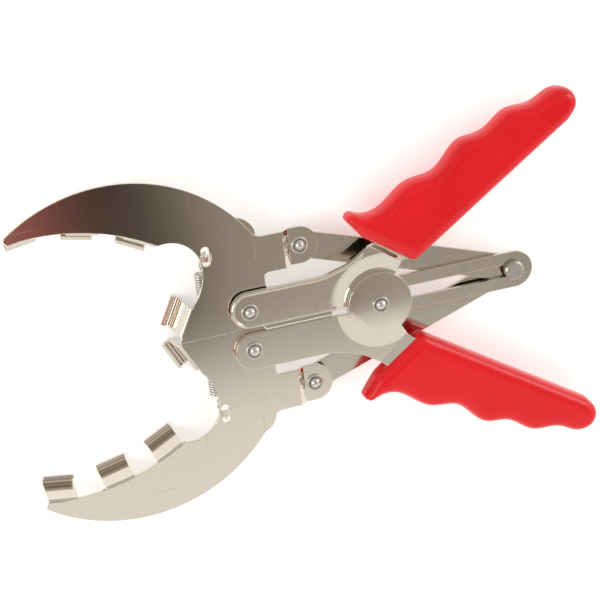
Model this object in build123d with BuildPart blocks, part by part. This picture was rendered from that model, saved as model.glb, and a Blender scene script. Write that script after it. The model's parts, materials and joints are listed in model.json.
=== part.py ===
"""Self-adjusting piston ring pliers. Millimetres, +Z towards the front face.

Each sheet is drawn flat on a level, with the main pivot at (0, 0) of the drawing and the
handles towards +X. Levels are heights above the front face of the jaw sheets.
"""

import os
from math import atan2, cos, degrees, hypot, radians, sin

from build123d import *

os.makedirs("parts", exist_ok=True)

# Where the main pivot and the front face of the jaws lie in the part's own frame.
PIVOT_X = 27.526
JAW_FACE_Z = 14.5

# Pivots of the upper side. The lower side mirrors them.
JAW_PIVOT = (-54.2, 8.25)
ARM_PIVOT = (-29.25, 29.85)
SLIDE_X = 60.5
LINK_LENGTH = hypot(SLIDE_X - ARM_PIVOT[0], ARM_PIVOT[1])

# Sheets, as lowest and highest level.
JAW = (-1.5, 0.0)
ARM = (-3.9, -2.4)
WEB = (1.1, 2.9)
DISC = (0.15, 1.95)
RIM_TOP = 3.7
BAR = (-4.3, -2.5)
UPPER_LINK = (-5.9, -4.4)
LOWER_LINK = (-7.5, -6.0)
GRIP = (-4.0, 8.0)
LEVER_MIDDLE = 2.0

# Rivets and washers.
PIN_R = 1.9
RUNNING_R = PIN_R + 0.05
DOME_R = 2.25
DOME_H = 1.3
WASHER_R = 3.55
WASHER_T = 0.8
SLIDE_PIN_R = 2.65
SLIDE_HEAD_R = 4.15

# Jaw outline.
OUTER_MIDDLE = (-106.0, 70.4)
RING_CENTRE = (-133.8, -34.5)
RING_R = 90.0
TIP = (-149.5, RING_CENTRE[1] + 88.62)
TIP_R = 1.5
ARM_HALF = 7.7
NOSE = (-82.6, 0.9)
TONGUE_X = -19.5
JOGGLE = (-36.3, -33.5)
NOTCH_START = (-86.6, 42.13)
HOOK = (-68.3, 33.8)
BACKING = (-55.5, 38.1)
BACKING_R = 8.6

# Finger tabs.
TAB_W = 12.4
TAB_ANGLES = (62.9, 77.7, 93.0)
TAB_TURNS = (0, 0, 6)
TAB_DROP = 14.5
NOSE_TABS = {1: (-79.2, 7.9), -1: (-79.8, -6.8)}

# Levers.
ARM_EDGE = (1.4, 16.4)
DISC_R = 13.5
SHOULDER_R = 18.4
DISH = (9.0, 22.0)
DISH_FOOT_ROUND = 40.0
DISH_CREST_ROUND = 24.0
RIM_T = 1.3
RIM_ROUND = 0.6
FOLD = ((-1.9, 25.1), (10.9, 15.9))
FLARE = ((-10.5, 19.6), (-22.5, 16.4))
FLARE_ROUND = 24.0
TANG_STEP = 2.2
GRIP_EDGE_R = 1.8

# Guide bar and links.
BAR_HALF = 7.7
BAR_FRONT_R = 8.3
SLOT_W = 2 * SLIDE_PIN_R + 0.1
LINK_HALF = 5.5

# Spring.
SPRING_X = -71.0
SPRING_Z = -4.1
COIL_R = 2.2
WIRE_R = 0.4
COIL_END = 26.0


def level(height):
    """The drawing plane at a level."""
    return Plane((PIVOT_X, 0, JAW_FACE_Z + height))


def across(at, way):
    """An upright plane through a drawing point: its x runs along way and its y is up."""
    return Plane(
        origin=(PIVOT_X + at[0], at[1], JAW_FACE_Z),
        x_dir=(way[0], way[1], 0),
        z_dir=(way[1], -way[0], 0),
    )


def finish(piece, name):
    piece.part.label = name
    export_step(piece.part, f"parts/{name}.step")


def turned_over(part):
    """The same stamping turned over about the levers' middle plane."""
    axis = Axis((0, 0, JAW_FACE_Z + LEVER_MIDDLE), (1, 0, 0))
    return part.rotate(axis, 180)


def dome_middle(radius, height):
    """Half way up a shallow dome that starts at radius and ends on the axis."""
    ball = (radius**2 + height**2) / (2 * height)
    half = atan2(radius, ball - height) / 2
    return ball * sin(half), ball * cos(half) - ball + height


def disc(at, heights, radius, bore):
    """A flat washer or spacer."""
    with BuildPart() as ring:
        with BuildSketch(level(heights[0])):
            with Locations(at):
                Circle(radius)
                Circle(bore, mode=Mode.SUBTRACT)
        extrude(amount=heights[1] - heights[0])
    return ring


def front_washer(at, low):
    """A washer with a rounded rim and a recess that leaves a groove round the rivet's dome."""
    high, rim, recess = low + WASHER_T, 0.35, 0.45
    outer = WASHER_R - rim
    with BuildPart() as ring:
        with BuildSketch(across(at, (1, 0))):
            with BuildLine():
                Polyline((WASHER_R, high - rim), (WASHER_R, low), (PIN_R, low))
                Polyline((PIN_R, low), (PIN_R, high - recess), (2.35, high - recess))
                Polyline((2.35, high - recess), (2.8, high), (outer, high))
                RadiusArc((outer, high), (WASHER_R, high - rim), rim)
            make_face()
        revolve(axis=Axis((PIVOT_X + at[0], at[1], 0), (0, 0, 1)))
    return ring


def rivet(at, low, high, rear_r=DOME_R, rear_h=DOME_H):
    """A shank from low to high with a domed head past each end."""
    front = dome_middle(DOME_R, DOME_H)
    rear = dome_middle(rear_r, rear_h)
    with BuildPart() as pin:
        with BuildSketch(across(at, (1, 0))):
            with BuildLine():
                Line((0, low - rear_h), (0, high + DOME_H))
                ThreePointArc((0, high + DOME_H), (front[0], high + front[1]), (DOME_R, high))
                Polyline((DOME_R, high), (PIN_R, high), (PIN_R, low), (rear_r, low))
                ThreePointArc((rear_r, low), (rear[0], low - rear[1]), (0, low - rear_h))
            make_face()
        revolve(axis=Axis((PIVOT_X + at[0], at[1], 0), (0, 0, 1)))
    return pin


def flip(side, *points):
    """Drawing points of the upper side, mirrored for the lower side."""
    return [(x, side * y) for x, y in points]


def soften(sketch, corners):
    """Round the named corners of a sketch, each with its own radius."""
    for corner, radius in corners:
        fillet(sketch.vertices().sort_by_distance(corner)[0], radius=radius)


def jaw_face(side):
    """The jaw sheet's outline. The two jaws' tongues lie one above the other."""
    tongue_edge = -1.2 if side > 0 else 2.2
    arm_x, arm_y = ARM_PIVOT
    top, bottom = arm_y + ARM_HALF, arm_y - ARM_HALF
    neck, heel, waist = (-47.4, top), (-75.6, 14.6), (-70.2, 28.8)
    lip = (-118.0, RING_CENTRE[1] + 88.6)
    with BuildSketch() as face:
        with BuildLine():
            ThreePointArc(*flip(side, TIP, OUTER_MIDDLE, neck))
            Line(*flip(side, neck, (arm_x, top)))
            ThreePointArc(*flip(side, (arm_x, top), (arm_x + ARM_HALF, arm_y), (arm_x, bottom)))
            Polyline(
                *flip(
                    side,
                    (arm_x, bottom),
                    (-45.6, bottom),
                    (-45.6, 15.5),
                    (-42.0, 15.5),
                    (-38.0, 9.5),
                    (TONGUE_X, 9.5),
                    (TONGUE_X, tongue_edge),
                    (-46.9, tongue_edge),
                    (-48.5, 0.1),
                    (-82.5, 0.1),
                    NOSE,
                    heel,
                )
            )
            TangentArc(*flip(side, waist, heel), tangent=(0, -side))
            ThreePointArc(*flip(side, waist, (-74.6, 38.9), NOTCH_START))
            ThreePointArc(*flip(side, NOTCH_START, lip, TIP))
        make_face()
        rounds = (TIP, TIP_R), (neck, 5), ((-45.6, bottom), 2), ((-45.6, 15.5), 2)
        soften(face, [((x, side * y), radius) for (x, y), radius in rounds])
    return face.sketch


def make_tab(root, inward):
    """A finger tab: bent down from the jaw's edge, then a floor and a turned-up lip."""
    sheet = JAW[1] - JAW[0]
    floor = sheet - TAB_DROP
    with BuildPart() as piece:
        with BuildSketch(across(root, inward)) as section:
            with BuildLine():
                Polyline(
                    (-1.5, 0),
                    (1.1, 0),
                    (2.9, floor),
                    (4.2, floor),
                    (4.8, floor + 1.4),
                    (6.2, floor + 1.2),
                    (5.6, -TAB_DROP),
                    (1.5, -TAB_DROP),
                    (-0.3, -sheet),
                    (-1.5, -sheet),
                    close=True,
                )
            make_face()
            rounds = ((1.1, 0), 1.4), ((2.9, floor), 0.8), ((4.2, floor), 0.4)
            soften(section, (*rounds, ((5.6, -TAB_DROP), 1.3), ((1.5, -TAB_DROP), 1.8)))
        extrude(amount=TAB_W / 2, both=True)
    return piece.part


def make_arm(side, face):
    """The arm's end, joggled down to its own level."""
    start, end = JOGGLE
    with BuildPart() as arm:
        with BuildSketch(across((0, side * ARM_PIVOT[1]), (1, 0))):
            with BuildLine():
                Polyline(
                    (start - 1, JAW[0]),
                    (start, JAW[0]),
                    (end, ARM[0]),
                    (0, ARM[0]),
                    (0, ARM[1]),
                    (end, ARM[1]),
                    (start, JAW[1]),
                    (start - 1, JAW[1]),
                    close=True,
                )
            make_face()
        extrude(amount=ARM_HALF + 0.5, both=True)
        with BuildSketch(level(ARM[0] - 1)):
            add(face)
        extrude(amount=6, mode=Mode.INTERSECT)
    return arm.part


def make_hook_strip(side):
    """The lanced strip that the spring hooks on, arched over its slot."""
    with BuildPart() as strip:
        with BuildSketch(across((HOOK[0], side * (HOOK[1] - 0.5)), (1, 0))):
            with BuildLine():
                ThreePointArc((-2.7, -0.6), (0, 1.1), (2.7, -0.6))
                Line((2.7, -0.6), (1.8, -0.9))
                ThreePointArc((1.8, -0.9), (0, 0.1), (-1.8, -0.9))
                Line((-1.8, -0.9), (-2.7, -0.6))
            make_face()
        extrude(amount=1.4, both=True)
    return strip.part


def make_jaw(side):
    face = jaw_face(side)
    with BuildPart() as jaw:
        with BuildSketch(level(JAW[0])):
            add(face)
            with Locations((JOGGLE[0] - 1, side * ARM_PIVOT[1])):
                Rectangle(40, 2 * ARM_HALF + 1, align=(Align.MIN, Align.CENTER), mode=Mode.SUBTRACT)
            with Locations((HOOK[0], side * HOOK[1])):
                SlotOverall(8.2, 3.4, rotation=90, mode=Mode.SUBTRACT)
        extrude(amount=JAW[1] - JAW[0])
        add(make_arm(side, face))
        add(make_hook_strip(side))
        for angle, turn in zip(TAB_ANGLES, TAB_TURNS):
            at, way = radians(angle), radians(angle + turn)
            root = (RING_CENTRE[0] + RING_R * cos(at), side * (RING_CENTRE[1] + RING_R * sin(at)))
            add(make_tab(root, (-cos(way), -side * sin(way))))
        slope = atan2(14.6 - NOSE[1], NOSE[0] + 75.6)
        add(make_tab(NOSE_TABS[side], (-abs(sin(slope)), side * abs(cos(slope)))))
        with BuildSketch(level(ARM[0] - 1)):
            with Locations((JAW_PIVOT[0], side * JAW_PIVOT[1])):
                Circle(RUNNING_R)
            with Locations((ARM_PIVOT[0], side * ARM_PIVOT[1])):
                Circle(PIN_R)
        extrude(amount=6, mode=Mode.SUBTRACT)
    return jaw


def make_lever(tang_rise):
    """Arm with an upturned rim, dished shoulder, recessed disc and stepped tang."""
    low, high = ARM_EDGE
    end_y, end_r = (low + high) / 2, (high - low) / 2
    front = JAW_PIVOT[0]
    with BuildSketch() as face:
        with BuildLine():
            ThreePointArc((front, high), (front - end_r, end_y), (front, low))
            Polyline((front, low), (-12, low), (0, 0), (8.03, 10.85), FOLD[1], FOLD[0])
            Polyline(FOLD[0], *FLARE, (front, high))
        make_face()
        soften(face, [(corner, FLARE_ROUND) for corner in FLARE])
    slope = 4.6
    foot, crest = (SHOULDER_R - slope, DISC[0]), (SHOULDER_R + 0.8, WEB[1])
    with BuildPart() as shoulder:
        with BuildSketch(across((0, 0), (1, 0))) as section:
            with BuildLine():
                Polyline(
                    (DISH[0], DISC[0]),
                    foot,
                    (SHOULDER_R, WEB[0]),
                    (DISH[1], WEB[0]),
                    (DISH[1], WEB[1]),
                    crest,
                    (crest[0] - slope, DISC[1]),
                    (DISH[0], DISC[1]),
                    close=True,
                )
            make_face()
            soften(section, ((foot, DISH_FOOT_ROUND), (crest, DISH_CREST_ROUND)))
        revolve(axis=Axis((PIVOT_X, 0, 0), (0, 0, 1)))
        with BuildSketch(level(DISC[0] - 1)):
            add(face.sketch)
        extrude(amount=6, mode=Mode.INTERSECT)
    fold_way = ((FOLD[1][0] - FOLD[0][0]), (FOLD[1][1] - FOLD[0][1]))
    fold_length = hypot(*fold_way)
    into_grip = (-fold_way[1] / fold_length, fold_way[0] / fold_length)
    with BuildPart() as tang:
        with BuildSketch(across(FOLD[0], into_grip)):
            with BuildLine():
                Polyline(
                    (0, WEB[0]),
                    (TANG_STEP, WEB[0] + tang_rise),
                    (90, WEB[0] + tang_rise),
                    (90, WEB[1] + tang_rise),
                    (TANG_STEP, WEB[1] + tang_rise),
                    (0, WEB[1]),
                    close=True,
                )
            make_face()
        extrude(amount=60, both=True)
        with BuildSketch(level(WEB[0] - 4)):
            with BuildLine():
                Polyline(FOLD[0], FOLD[1], (22, 24), (68, 55.5), (64, 62.5), (8, 33), close=True)
            make_face()
        extrude(amount=12, mode=Mode.INTERSECT)
    with BuildPart() as lever:
        with BuildSketch(level(WEB[0])):
            add(face.sketch)
            Circle(DISH[1], mode=Mode.SUBTRACT)
        extrude(amount=WEB[1] - WEB[0])
        with BuildSketch(level(WEB[0])):
            add(face.sketch)
            offset(amount=-RIM_T, kind=Kind.INTERSECTION, mode=Mode.SUBTRACT)
            Circle(SHOULDER_R, mode=Mode.SUBTRACT)
            with Locations((-5, 0)):
                Rectangle(40, 80, align=(Align.MIN, Align.CENTER), mode=Mode.SUBTRACT)
        extrude(amount=RIM_TOP - WEB[0])
        fillet(lever.faces().sort_by(Axis.Z)[-1].edges(), radius=RIM_ROUND)
        add(shoulder.part)
        with BuildSketch(level(DISC[0])):
            Circle(DISC_R)
            add(face.sketch, mode=Mode.SUBTRACT)
            Circle(DISH[0])
        extrude(amount=DISC[1] - DISC[0])
        add(tang.part)
        with BuildSketch(level(DISC[0] - 1)):
            Circle(RUNNING_R)
            with Locations(JAW_PIVOT):
                Circle(PIN_R)
        extrude(amount=6, mode=Mode.SUBTRACT)
    return lever


def make_grip(side, lever):
    """A moulded handle, wavy on its outer side, over the lever's tang."""
    waves = (
        (-8.5, 41.0),
        (4.0, 40.0),
        (17.0, 48.7),
        (27.8, 50.6),
        (40.5, 61.5),
        (49.5, 62.9),
        (61.0, 70.0),
        (72.0, 71.2),
        (81.2, 75.3),
        (85.6, 75.0),
    )
    guard, end = (-11.5, 38.5), ((89.6, 65.2), (86.7, 61.6))
    corner, mouth = (15.7, 15.4), (-4.6, 29.6)
    with BuildPart() as grip:
        with BuildSketch(level(GRIP[0])) as outline:
            with BuildLine():
                Spline(*flip(side, *waves))
                ThreePointArc(*flip(side, waves[-1], (90.1, 71.2), end[0]))
                Polyline(*flip(side, *end, corner, mouth, guard, waves[0]))
            make_face()
            rounds = (corner, 3), (guard, 1.2), (waves[0], 1.5), (end[0], 4), (end[1], 4)
            soften(outline, [((x, side * y), radius) for (x, y), radius in rounds])
        extrude(amount=GRIP[1] - GRIP[0])
        faces = grip.faces().filter_by(Axis.Z)
        fillet(faces.edges(), radius=GRIP_EDGE_R)
        add(lever, mode=Mode.SUBTRACT)
    return grip


def make_link(side, heights):
    """A straight link between the arm's pivot and the sliding pin."""
    arm = (ARM_PIVOT[0], side * ARM_PIVOT[1])
    middle = ((arm[0] + SLIDE_X) / 2, arm[1] / 2)
    slope = degrees(atan2(-arm[1], SLIDE_X - arm[0]))
    with BuildPart() as link:
        with BuildSketch(level(heights[0])):
            with Locations(middle):
                SlotCenterToCenter(LINK_LENGTH, 2 * LINK_HALF, rotation=slope)
            with Locations(arm):
                Circle(RUNNING_R, mode=Mode.SUBTRACT)
            with Locations((SLIDE_X, 0)):
                Circle(SLIDE_PIN_R + 0.05, mode=Mode.SUBTRACT)
        extrude(amount=heights[1] - heights[0])
    return link


def make_guide_bar():
    slot_front, slot_rear, rear = 11.7, SLIDE_X + 0.1, 61.4
    with BuildPart() as bar:
        with BuildSketch(level(BAR[0])):
            Circle(BAR_FRONT_R)
            Rectangle(rear, 2 * BAR_HALF, align=(Align.MIN, Align.CENTER))
            with Locations((rear, 0)):
                Circle(BAR_HALF)
            with Locations(((slot_front + slot_rear) / 2, 0)):
                SlotCenterToCenter(slot_rear - slot_front, SLOT_W, mode=Mode.SUBTRACT)
            Circle(PIN_R, mode=Mode.SUBTRACT)
        extrude(amount=BAR[1] - BAR[0])
    return bar


def make_slide_pin():
    """A turned head on the bar's front face, a shank through slot and links, a rear dome."""
    head_low, head_high = BAR[1] + 0.05, -0.1
    end = LOWER_LINK[0] - 0.05 - WASHER_T
    rear_r, rear_h = 3.1, 0.9
    rear = dome_middle(rear_r, rear_h)
    with BuildPart() as pin:
        with BuildSketch(across((SLIDE_X, 0), (1, 0))):
            with BuildLine():
                Polyline(
                    (0, end - rear_h),
                    (0, head_high),
                    (SLIDE_HEAD_R - 0.8, head_high),
                    (SLIDE_HEAD_R, head_high - 0.6),
                    (SLIDE_HEAD_R, head_low),
                    (SLIDE_PIN_R, head_low),
                    (SLIDE_PIN_R, end),
                    (rear_r, end),
                )
                ThreePointArc((rear_r, end), (rear[0], end - rear[1]), (0, end - rear_h))
            make_face()
        revolve(axis=Axis((PIVOT_X + SLIDE_X, 0, 0), (0, 0, 1)))
    return pin


def make_spring_half(side):
    """Half of the closed coil as a tube, with its end hook."""
    start = (SPRING_X + 0.8, side * (COIL_END - 0.4))
    run = (HOOK[0] - start[0], side * HOOK[1] - start[1])
    way = (run[0] / hypot(*run), run[1] / hypot(*run))
    half_gap = 0.15
    coil_start = (PIVOT_X + SPRING_X, side * half_gap, JAW_FACE_Z + SPRING_Z)
    hook = ((0, SPRING_Z + 1.8), (3.5, -3.0), (10.4, -3.0), (10.4, 1.7), (8.9, 1.7))
    with BuildPart() as half:
        with BuildSketch(Plane(coil_start, z_dir=(0, side, 0))):
            Circle(COIL_R)
            Circle(COIL_R - 2 * WIRE_R, mode=Mode.SUBTRACT)
        extrude(amount=COIL_END - half_gap)
        with BuildLine(across(start, way)) as route:
            FilletPolyline(*hook, radius=0.9)
        with BuildSketch(Plane(route.line @ 0, z_dir=route.line % 0)):
            Circle(WIRE_R)
        sweep(path=route.line)
    return half


guide_bar = make_guide_bar()
finish(guide_bar, "guide_bar")
upper_lever = make_lever(TANG_STEP)
finish(upper_lever, "upper_lever")
with BuildPart() as lower_lever:
    add(turned_over(make_lever(-TANG_STEP).part))
finish(lower_lever, "lower_lever")
finish(make_grip(1, upper_lever.part), "upper_grip")
finish(make_grip(-1, lower_lever.part), "lower_grip")

DISC_TOP = 2 * LEVER_MIDDLE - DISC[0]
REAR_R, REAR_H = 3.2, 1.1
finish(rivet((0, 0), BAR[0] - WASHER_T, DISC_TOP + 0.05 + WASHER_T), "main_rivet")
finish(front_washer((0, 0), DISC_TOP + 0.05), "main_front_washer")
finish(disc((0, 0), (BAR[0] - WASHER_T, BAR[0]), WASHER_R, PIN_R), "main_rear_washer")
finish(disc((0, 0), (BAR[1], DISC[0] - 0.05), 6.0, PIN_R), "main_spacer")

for name, side, link_levels in (("upper", 1, UPPER_LINK), ("lower", -1, LOWER_LINK)):
    jaw_pivot = (JAW_PIVOT[0], side * JAW_PIVOT[1])
    arm_pivot = (ARM_PIVOT[0], side * ARM_PIVOT[1])
    finish(make_jaw(side), f"{name}_jaw")
    jaw_rivet = rivet(jaw_pivot, JAW[0] - 0.05, WEB[1] + WASHER_T, REAR_R, REAR_H)
    finish(jaw_rivet, f"{name}_jaw_rivet")
    finish(front_washer(jaw_pivot, WEB[1]), f"{name}_jaw_washer")
    finish(disc(jaw_pivot, (0.05, WEB[0]), WASHER_R, PIN_R), f"{name}_jaw_spacer")
    link_rivet = rivet(arm_pivot, link_levels[0] - 0.05, ARM[1] + WASHER_T, REAR_R, REAR_H)
    finish(link_rivet, f"{name}_link_rivet")
    finish(front_washer(arm_pivot, ARM[1]), f"{name}_link_washer")
    finish(disc(arm_pivot, (link_levels[1] + 0.05, ARM[0]), WASHER_R, PIN_R), f"{name}_link_spacer")
    backing = (BACKING[0], side * BACKING[1])
    finish(disc(backing, (JAW[0] - 1.5, JAW[0]), BACKING_R, 1.5), f"{name}_backing_disc")
    finish(make_link(side, link_levels), f"{name}_link")
    finish(make_spring_half(side), f"spring_{name}_half")

finish(make_slide_pin(), "slide_pin")
pin_washer = (LOWER_LINK[0] - 0.05 - WASHER_T, LOWER_LINK[0] - 0.05)
finish(disc((SLIDE_X, 0), pin_washer, 4.5, SLIDE_PIN_R), "slide_pin_washer")
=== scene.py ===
"""Looks of the piston ring pliers: plated sheets, rivets, moulded grips and a coil spring."""

import json
from math import cos, pi, sin, sqrt

import bmesh
import bpy
from mathutils import Matrix, Vector, kdtree


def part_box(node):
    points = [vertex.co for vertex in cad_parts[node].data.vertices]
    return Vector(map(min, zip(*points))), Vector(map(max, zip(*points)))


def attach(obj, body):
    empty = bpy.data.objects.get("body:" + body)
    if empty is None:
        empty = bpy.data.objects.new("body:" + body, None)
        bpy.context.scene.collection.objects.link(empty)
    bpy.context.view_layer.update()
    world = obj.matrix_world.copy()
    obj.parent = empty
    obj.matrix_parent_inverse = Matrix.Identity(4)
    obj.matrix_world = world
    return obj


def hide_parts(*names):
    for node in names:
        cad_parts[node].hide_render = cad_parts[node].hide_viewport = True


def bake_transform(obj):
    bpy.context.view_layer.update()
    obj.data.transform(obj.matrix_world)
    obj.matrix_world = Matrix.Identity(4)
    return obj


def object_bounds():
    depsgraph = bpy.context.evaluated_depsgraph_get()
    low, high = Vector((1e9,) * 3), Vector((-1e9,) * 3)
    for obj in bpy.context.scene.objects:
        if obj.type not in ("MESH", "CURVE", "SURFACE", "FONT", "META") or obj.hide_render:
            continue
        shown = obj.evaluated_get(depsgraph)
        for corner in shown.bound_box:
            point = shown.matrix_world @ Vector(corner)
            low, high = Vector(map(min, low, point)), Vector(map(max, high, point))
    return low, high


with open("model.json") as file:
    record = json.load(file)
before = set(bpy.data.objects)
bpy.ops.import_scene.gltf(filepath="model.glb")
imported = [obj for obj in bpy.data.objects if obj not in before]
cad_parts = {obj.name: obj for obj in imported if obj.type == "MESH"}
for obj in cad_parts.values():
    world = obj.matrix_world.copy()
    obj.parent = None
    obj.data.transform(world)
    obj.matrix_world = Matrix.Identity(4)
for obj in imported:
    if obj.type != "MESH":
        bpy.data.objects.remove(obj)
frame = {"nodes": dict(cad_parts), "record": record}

CAD_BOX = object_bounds()
JOINTS = {joint["name"]: joint for joint in frame["record"]["behaviour"]["joints"]}
MAIN = Vector(JOINTS["upper_handle_squeeze"]["pos_m"])
MM = 0.001


# ---------------------------------------------------------------- node helpers
class Nodes:
    """A material's or world's node tree, cleared and filled by short calls."""

    def __init__(self, owner):
        owner.use_nodes = True
        self.tree = owner.node_tree
        self.tree.nodes.clear()

    def add(self, kind, **settings):
        node = self.tree.nodes.new(kind)
        for key, value in settings.items():
            setattr(node, key, value)
        return node

    def link(self, source, target):
        self.tree.links.new(source, target)

    def feed(self, target, value):
        """Link a socket to an input, or set the input to a constant."""
        if isinstance(value, bpy.types.NodeSocket):
            self.link(value, target)
        else:
            target.default_value = value

    def math(self, operation, a, b=0.0):
        node = self.add("ShaderNodeMath", operation=operation)
        self.feed(node.inputs[0], a)
        self.feed(node.inputs[1], b)
        return node.outputs[0]

    def span(self, value, low, high, to_low=0.0, to_high=1.0):
        """Map a value's range smoothly to another, clamped."""
        node = self.add("ShaderNodeMapRange", interpolation_type="SMOOTHSTEP")
        ends = {"From Min": low, "From Max": high, "To Min": to_low, "To Max": to_high}
        for key, number in ends.items():
            node.inputs[key].default_value = number
        self.feed(node.inputs["Value"], value)
        return node.outputs["Result"]

    def mix(self, factor, a, b):
        node = self.add("ShaderNodeMix", data_type="RGBA")
        self.feed(node.inputs["Factor"], factor)
        self.feed(node.inputs[6], a)
        self.feed(node.inputs[7], b)
        return node.outputs[2]

    def noise(self, vector, scale, detail=4.0, rough=0.55, stretch=None, turn=0.0):
        if stretch:
            mapping = self.add("ShaderNodeMapping")
            mapping.inputs["Scale"].default_value = stretch
            mapping.inputs["Rotation"].default_value = (0, 0, turn)
            self.link(vector, mapping.inputs["Vector"])
            vector = mapping.outputs["Vector"]
        node = self.add("ShaderNodeTexNoise")
        node.inputs["Scale"].default_value = scale
        node.inputs["Detail"].default_value = detail
        node.inputs["Roughness"].default_value = rough
        self.link(vector, node.inputs["Vector"])
        return node.outputs["Fac"]

    def bump(self, height, strength, distance, normal=None):
        node = self.add("ShaderNodeBump")
        node.inputs["Strength"].default_value = strength
        node.inputs["Distance"].default_value = distance
        self.link(height, node.inputs["Height"])
        if normal is not None:
            self.link(normal, node.inputs["Normal"])
        return node.outputs["Normal"]

    def output(self, shader, kind="ShaderNodeOutputMaterial"):
        self.link(shader.outputs[0], self.add(kind).inputs["Surface"])


def rgba(r, g, b):
    return (r, g, b, 1.0)


def scaled(tone, factor):
    return rgba(*(min(1.0, factor * part) for part in tone))


# ------------------------------------------------------------------- materials
# Noise scales are per metre.
SMEAR_SCALE = 42.0
GRAIN_SCALE = 2600.0
SPECK_SCALE = 1300.0
GRAIN_DEPTH = 0.03 * MM
RING_PITCH = 0.42 * MM
BULGE_R = 13.0 * MM
BULGE_CURVE = 1.15  # the bulge falls by this times the radius squared, in metres
FLOW_SCALE = 24.0
PEEL_SCALE = 420.0
PIT_SCALE = 950.0
PEEL_DEPTH = 0.10 * MM


def from_axis(n, place, about):
    """A vector's distance from an upright axis."""
    offset = n.add("ShaderNodeVectorMath", operation="SUBTRACT")
    n.link(place, offset.inputs[0])
    offset.inputs[1].default_value = about
    level = n.add("ShaderNodeVectorMath", operation="MULTIPLY")
    n.link(offset.outputs[0], level.inputs[0])
    level.inputs[1].default_value = (1, 1, 0)
    radius = n.add("ShaderNodeVectorMath", operation="LENGTH")
    n.link(level.outputs[0], radius.inputs[0])
    return radius.outputs["Value"]


def plated_metal(name, tone, rough, grain, speckle, rim_mm=0.28, rings_about=None, bulge_about=None):
    """Nickel plate: fine rolled grain, faint smears, hairline scratches and a painted highlight along
    the edges.

    A turned head has rings about its axis, and a pressed disc has a slight bulge about its own.
    """
    material = bpy.data.materials.new(name)
    n = Nodes(material)
    place = n.add("ShaderNodeTexCoord").outputs["Object"]
    edge = n.add("ShaderNodeBevel", samples=6)
    edge.inputs["Radius"].default_value = rim_mm * MM
    flat = n.add("ShaderNodeNewGeometry").outputs["Normal"]
    compare = n.add("ShaderNodeVectorMath", operation="DOT_PRODUCT")
    n.link(edge.outputs["Normal"], compare.inputs[0])
    n.link(flat, compare.inputs[1])
    # Mask for a painted highlight: where the bevel's rounded normal turns away from the flat one, near
    # the edges.
    painted_edge_highlight = n.span(compare.outputs["Value"], 0.995, 0.80)

    smear = n.noise(place, SMEAR_SCALE, detail=3.0)
    fine = n.noise(place, GRAIN_SCALE, detail=3.0, rough=0.7)
    speck = n.span(n.noise(place, SPECK_SCALE, detail=2.0), 0.66, 0.74)
    along = n.noise(place, 130.0, 2.0, 0.5, stretch=(0.22, 9.0, 1.0), turn=0.35)
    across = n.noise(place, 90.0, 2.0, 0.5, stretch=(11.0, 0.25, 1.0), turn=0.9)
    scratch = n.math("MAXIMUM", n.span(along, 0.715, 0.74), n.span(across, 0.725, 0.75))

    blend = n.math("ADD", n.span(fine, 0.35, 0.65, 0.0, 0.8), n.span(smear, 0.3, 0.7, 0.0, 0.2))
    colour = n.mix(blend, scaled(tone, 1 - speckle), scaled(tone, 1 + speckle))
    colour = n.mix(n.math("MULTIPLY", speck, 0.22), colour, rgba(0.93, 0.91, 0.86))
    # Painted highlight: the edges are mixed half way towards a pale cream, standing in for light
    # caught by a rounded rim.
    colour = n.mix(n.math("MULTIPLY", painted_edge_highlight, 0.5), colour, rgba(0.92, 0.89, 0.83))

    smeared = n.span(smear, 0.25, 0.75, rough * 0.92, rough * 1.08)
    roughness = n.math("ADD", smeared, n.span(fine, 0.3, 0.7, 0.0, 0.02))
    roughness = n.math("ADD", roughness, n.math("MULTIPLY", scratch, 0.10))

    height = n.math("ADD", fine, n.math("MULTIPLY", scratch, -0.6))
    normal = n.bump(height, grain, GRAIN_DEPTH, edge.outputs["Normal"])
    if rings_about is not None:
        radius = from_axis(n, place, rings_about)
        wave = n.math("SINE", n.math("MULTIPLY", radius, 2 * pi / RING_PITCH))
        normal = n.bump(wave, 0.6, GRAIN_DEPTH, normal)
    if bulge_about is not None:
        radius = n.math("MINIMUM", from_axis(n, place, bulge_about), BULGE_R)
        bulge = n.math("MULTIPLY", n.math("MULTIPLY", radius, radius), -BULGE_CURVE)
        normal = n.bump(bulge, 1.0, 1.0, normal)

    shader = n.add("ShaderNodeBsdfPrincipled")
    shader.inputs["Metallic"].default_value = 1.0
    n.link(colour, shader.inputs["Base Color"])
    n.link(roughness, shader.inputs["Roughness"])
    n.link(normal, shader.inputs["Normal"])
    n.output(shader)
    return material


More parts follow.
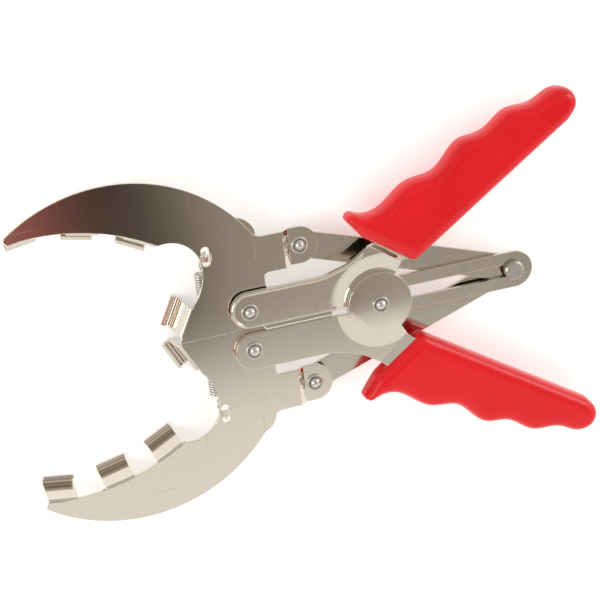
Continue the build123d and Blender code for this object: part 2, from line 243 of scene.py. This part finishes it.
def grip_plastic():
    """Glossy red vinyl: faint flow marks, an uneven skin, tiny pits and a thin clear sheen."""
    material = bpy.data.materials.new("glossy_red_vinyl")
    n = Nodes(material)
    place = n.add("ShaderNodeTexCoord").outputs["Object"]
    cloud = n.noise(place, FLOW_SCALE, detail=3.0)
    orange_peel = n.noise(place, PEEL_SCALE, detail=2.0)
    pit = n.span(n.noise(place, PIT_SCALE, detail=1.0), 0.70, 0.76)
    colour = n.mix(n.span(cloud, 0.3, 0.7), rgba(0.68, 0.002, 0.007), rgba(0.77, 0.004, 0.011))
    colour = n.mix(n.math("MULTIPLY", pit, 0.10), colour, rgba(0.88, 0.10, 0.11))
    roughness = n.math("ADD", n.span(cloud, 0.3, 0.7, 0.20, 0.26), n.math("MULTIPLY", pit, 0.1))
    height = n.math("ADD", orange_peel, n.math("MULTIPLY", pit, -0.15))
    normal = n.bump(height, 0.10, PEEL_DEPTH)
    shader = n.add("ShaderNodeBsdfPrincipled")
    shader.inputs["IOR"].default_value = 1.45
    shader.inputs["Specular IOR Level"].default_value = 0.34
    shader.inputs["Coat Weight"].default_value = 0.25
    shader.inputs["Coat Roughness"].default_value = 0.10
    shader.inputs["Subsurface Weight"].default_value = 0.08
    shader.inputs["Subsurface Radius"].default_value = (1.0, 0.15, 0.1)
    shader.inputs["Subsurface Scale"].default_value = 0.8 * MM
    n.link(colour, shader.inputs["Base Color"])
    n.link(roughness, shader.inputs["Roughness"])
    n.link(normal, shader.inputs["Normal"])
    n.output(shader)
    return material


def assign(name, material):
    """Give a CAD node its finished material."""
    node = frame["nodes"][name]
    for slot in node.material_slots:
        slot.material = material


def new_object(name, mesh, material):
    piece = bpy.data.objects.new(name, mesh)
    bpy.context.scene.collection.objects.link(piece)
    mesh.materials.clear()
    mesh.materials.append(material)
    return piece


# ----------------------------------------------------------------------- grips
GRIP_VOXEL = 0.6 * MM
GRIP_ROLL = 4.2 * MM
GRIP_WALL = 0.42  # the share of the half height that is left at the outline
SIDE_TILT = 0.35  # a normal with less Z than this is on a side
FACE_MARGIN = 0.22  # the share of the half height next to the rear face that isn't read


def bake(piece):
    """Apply a piece's modifiers to its mesh."""
    graph = bpy.context.evaluated_depsgraph_get()
    mesh = bpy.data.meshes.new_from_object(piece.evaluated_get(graph))
    piece.modifiers.clear()
    piece.data = mesh


def crown(mesh, width, wall):
    """Roll both faces over towards the outline, down to a wall of that share of the height."""
    heights = [v.co.z for v in mesh.vertices]
    low, high = min(heights), max(heights)
    middle, half = (low + high) / 2, (high - low) / 2
    outline = [
        v.co for v in mesh.vertices
        if abs(v.normal.z) < SIDE_TILT and low + FACE_MARGIN * half < v.co.z < middle
    ]
    tree = kdtree.KDTree(len(outline))
    for i, point in enumerate(outline):
        tree.insert((point.x, point.y, 0), i)
    tree.balance()
    for v in mesh.vertices:
        away = min(1.0, tree.find((v.co.x, v.co.y, 0))[2] / width)
        share = wall + (1 - wall) * sqrt(max(0.0, 1 - (1 - away) ** 2))
        v.co.z = middle + (v.co.z - middle) * share


def moulded_grip(name, body, material):
    """The CAD grip remeshed and relaxed, so that its edges roll over as moulded vinyl does."""
    source = frame["nodes"][name]
    piece = new_object(f"{name}_vinyl", source.data.copy(), material)
    remesh = piece.modifiers.new("voxels", "REMESH")
    remesh.mode = "VOXEL"
    remesh.voxel_size = GRIP_VOXEL
    bake(piece)
    crown(piece.data, GRIP_ROLL, GRIP_WALL)
    relax = piece.modifiers.new("relax", "SMOOTH")
    relax.factor = 0.5
    relax.iterations = 12
    bake(piece)
    piece.data.shade_smooth()
    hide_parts(name)
    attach(piece, body)


# ---------------------------------------------------------------------- spring
WIRE_R = 0.42 * MM
COIL_R = 2.2 * MM
COIL_TURNS = 25
TURN_STEPS = 24
RING_POINTS = 10
HOOK_REACH = 9.9 * MM
HOOK_STEPS = 8
# The hook's points past the coil's end, in millimetres.
HOOK = (
    (1.4, 1.4, 0.6), (0.4, 3.2, 1.2), (0.6, 5.2, 1.6), (1.6, 7.4, 1.9),
    (2.4, 9.0, 2.4), (2.5, 9.5, 3.6), (2.5, 9.0, 4.9), (2.5, 7.9, 5.5),
)


def tube_mesh(name, path):
    """A round wire along a path of points."""
    mesh = bpy.data.meshes.new(name)
    shape = bmesh.new()
    rings = []
    side = Vector((0, 0, 1))
    for i, point in enumerate(path):
        ahead = (path[min(i + 1, len(path) - 1)] - path[max(i - 1, 0)]).normalized()
        side = (side - ahead * side.dot(ahead)).normalized()
        up = ahead.cross(side)
        rings.append([
            shape.verts.new(point + WIRE_R * (side * cos(a) + up * sin(a)))
            for a in (2 * pi * k / RING_POINTS for k in range(RING_POINTS))
        ])
    for before, after in zip(rings, rings[1:]):
        for k in range(RING_POINTS):
            j = (k + 1) % RING_POINTS
            shape.faces.new((before[k], before[j], after[j], after[k]))
    shape.faces.new(rings[0])
    shape.faces.new(list(reversed(rings[-1])))
    bmesh.ops.recalc_face_normals(shape, faces=shape.faces)
    shape.to_mesh(mesh)
    shape.free()
    mesh.shade_smooth()
    return mesh


def curve_through(control):
    """Points of a smooth curve through the control points, without the first of them."""
    before = [control[0]] + control
    after = control[2:] + [control[-1]]
    for a, b, c, d in zip(before, control, control[1:], after):
        for k in range(1, HOOK_STEPS + 1):
            t = k / HOOK_STEPS
            yield 0.5 * ((2 * b) + (c - a) * t + (2 * a - 5 * b + 4 * c - d) * t * t
                         + (3 * b - a - 3 * c + d) * t ** 3)


def spring_half(name, sign, material):
    """Close-wound wire from the middle to the hook, which bends over the jaw's strip."""
    low, high = (Vector(corner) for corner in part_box(name))
    coil_x = low.x + COIL_R
    coil_z = low.z + COIL_R
    tip = high.y if sign > 0 else -low.y
    coil_end = tip - HOOK_REACH
    radius = COIL_R - WIRE_R
    path = []
    for i in range(COIL_TURNS * TURN_STEPS + 1):
        t = i / (COIL_TURNS * TURN_STEPS)
        a = 2 * pi * COIL_TURNS * t
        x, z = coil_x + radius * cos(a), coil_z + sign * radius * sin(a)
        path.append(Vector((x, sign * coil_end * t, z)))
    hook = [Vector((coil_x + x * MM, sign * (coil_end + y * MM), coil_z + z * MM)) for x, y, z in HOOK]
    path.extend(curve_through([path[-1]] + hook))
    piece = new_object(f"{name}_wire", tube_mesh(f"{name}_wire", path), material)
    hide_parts(name)
    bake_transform(piece)


# ------------------------------------------------------------------- the studio
FLOOR_HALF = 6.0
FLOOR_GAP = 0.2 * MM
FLOOR_GLOW = 0.36
# The overhead tone by the direction's X, and the spans in which one tone gives way to another.
OVERHEAD_TONES = (
    (0.046, (0.74, 0.46, 0.42)),
    (0.104, (0.60, 0.25, 0.23)),
    (0.128, (0.42, 0.135, 0.125)),
    (0.140, (0.28, 0.090, 0.083)),
    (0.153, (0.14, 0.055, 0.048)),
    (0.166, (0.045, 0.032, 0.027)),
    (0.185, (0.05, 0.043, 0.037)),
    (0.203, (0.17, 0.145, 0.122)),
    (0.218, (0.38, 0.335, 0.295)),
    (0.300, (0.44, 0.40, 0.355)),
)
WHITE_SPAN_Y = (-0.357, -0.405)
GREY_SPAN_Y = (-0.25, -0.10)
LIT_SIDE_SPAN = (-0.5, 0.45)
OVERHEAD_SPAN_Z = (0.70, 0.84)
# The camera's place from the main pivot, and its directions.
EYE_PLACE = Vector((-0.2503, 0.3221, 0.7890))
EYE_RIGHT = (0.9468, -0.1071, 0.3036)
EYE_UP = (0.2050, 0.9276, -0.3122)
EYE_BACK = (-0.2482, 0.3578, 0.9002)


def floor():
    """A wide pale floor just under the object, with a little light of its own."""
    mesh = bpy.data.meshes.new("floor")
    height = CAD_BOX[0][2] - FLOOR_GAP
    sides = ((-1, -1), (1, -1), (1, 1), (-1, 1))
    corners = [(x * FLOOR_HALF, y * FLOOR_HALF, height) for x, y in sides]
    mesh.from_pydata(corners, [], [(0, 1, 2, 3)])
    material = bpy.data.materials.new("pale_floor")
    n = Nodes(material)
    place = n.add("ShaderNodeTexCoord").outputs["Object"]
    shader = n.add("ShaderNodeBsdfPrincipled")
    tone = n.mix(n.noise(place, 3.0), rgba(0.93, 0.93, 0.93), rgba(0.95, 0.95, 0.95))
    n.link(tone, shader.inputs["Base Color"])
    n.link(tone, shader.inputs["Emission Color"])
    shader.inputs["Emission Strength"].default_value = FLOOR_GLOW
    shader.inputs["Roughness"].default_value = 0.9
    n.output(shader)
    new_object("floor", mesh, material)


def softbox(name, place, width, power):
    """A square white lamp that faces the middle of the object."""
    lamp = bpy.data.lights.new(name, "AREA")
    lamp.shape = "RECTANGLE"
    lamp.size = width
    lamp.size_y = width
    lamp.energy = power
    light = bpy.data.objects.new(name, lamp)
    light.location = place
    light.rotation_euler = (-Vector(place)).to_track_quat("-Z", "Y").to_euler()
    bpy.context.scene.collection.objects.link(light)


def studio_world():
    """A pale studio whose overhead tone runs along X from pale red, through dark, to a cream grey."""
    world = bpy.data.worlds.new("studio")
    bpy.context.scene.world = world
    n = Nodes(world)
    split = n.add("ShaderNodeSeparateXYZ")
    n.link(n.add("ShaderNodeTexCoord").outputs["Generated"], split.inputs[0])
    x, y, z = split.outputs
    cards = n.add("ShaderNodeValToRGB")
    ramp = cards.color_ramp
    while len(ramp.elements) < len(OVERHEAD_TONES):
        ramp.elements.new(0.5)
    for element, (place, tone) in zip(ramp.elements, OVERHEAD_TONES):
        element.position = place
        element.color = rgba(*tone)
    n.link(x, cards.inputs["Fac"])
    overhead = n.mix(n.span(y, *WHITE_SPAN_Y), cards.outputs["Color"], rgba(1.03, 1.01, 0.97))
    overhead = n.mix(n.span(y, *GREY_SPAN_Y), overhead, rgba(0.62, 0.60, 0.57))
    lit_side = n.math("MULTIPLY", n.math("SUBTRACT", x, y), 0.7071)
    around = n.mix(n.span(lit_side, *LIT_SIDE_SPAN), rgba(0.66, 0.635, 0.60), rgba(1.05, 1.02, 0.97))
    colour = n.mix(n.span(z, *OVERHEAD_SPAN_Z), around, overhead)
    background = n.add("ShaderNodeBackground")
    n.link(colour, background.inputs["Color"])
    background.inputs["Strength"].default_value = 1.0
    n.output(background, "ShaderNodeOutputWorld")


def camera():
    """A long lens that looks at the object as the photo does."""
    lens = bpy.data.cameras.new("view")
    lens.sensor_width = 36.0
    lens.lens = 131.8
    lens.clip_start = 0.01
    lens.clip_end = 50.0
    turn = Matrix((EYE_RIGHT, EYE_UP, EYE_BACK)).transposed()
    eye = bpy.data.objects.new("view", lens)
    eye.matrix_world = Matrix.Translation(MAIN + EYE_PLACE) @ turn.to_4x4()
    bpy.context.scene.collection.objects.link(eye)
    bpy.context.scene.camera = eye


# ------------------------------------------------------------------ put together
SHEET = plated_metal("nickel_sheet", (0.68, 0.63, 0.55), 0.075, grain=0.03, speckle=0.05)
LEVER_SHEET = plated_metal(
    "nickel_sheet_pressed", (0.68, 0.63, 0.55), 0.095, grain=0.03, speckle=0.05, rim_mm=0.35,
    bulge_about=MAIN,
)
LINK_SHEET = plated_metal(
    "nickel_sheet_coarse", (0.60, 0.555, 0.48), 0.11, grain=0.10, speckle=0.12, rim_mm=0.42,
)
HARDWARE = plated_metal(
    "bright_hardware", (0.60, 0.58, 0.545), 0.26, grain=0.02, speckle=0.03, rim_mm=0.12,
)
TURNED = plated_metal(
    "turned_head", (0.42, 0.40, 0.37), 0.20, grain=0.02, speckle=0.04, rim_mm=0.15,
    rings_about=JOINTS["upper_link_swing"]["pos_m"],
)
WIRE = plated_metal("spring_wire", (0.70, 0.685, 0.65), 0.14, grain=0.02, speckle=0.04, rim_mm=0.05)
VINYL = grip_plastic()

for part in frame["record"]["subparts"]:
    node_name, slot = part["node"], part["material_slot"]
    if node_name.endswith("lever"):
        assign(node_name, LEVER_SHEET)
    elif slot == "nickel_sheet":
        coarse = node_name.endswith("link") or node_name == "guide_bar"
        assign(node_name, LINK_SHEET if coarse else SHEET)
    elif slot == "bright_hardware":
        assign(node_name, TURNED if node_name == "slide_pin" else HARDWARE)

moulded_grip("upper_grip", "upper_handle", VINYL)
moulded_grip("lower_grip", "lower_handle", VINYL)
spring_half("spring_upper_half", 1, WIRE)
spring_half("spring_lower_half", -1, WIRE)

floor()
studio_world()
softbox("key", (-1.5, 0.15, 1.3), width=1.0, power=12.0)
softbox("side", (1.5, 0.5, 0.9), width=0.9, power=6.0)
camera()
bpy.context.scene.view_settings.view_transform = "Standard"
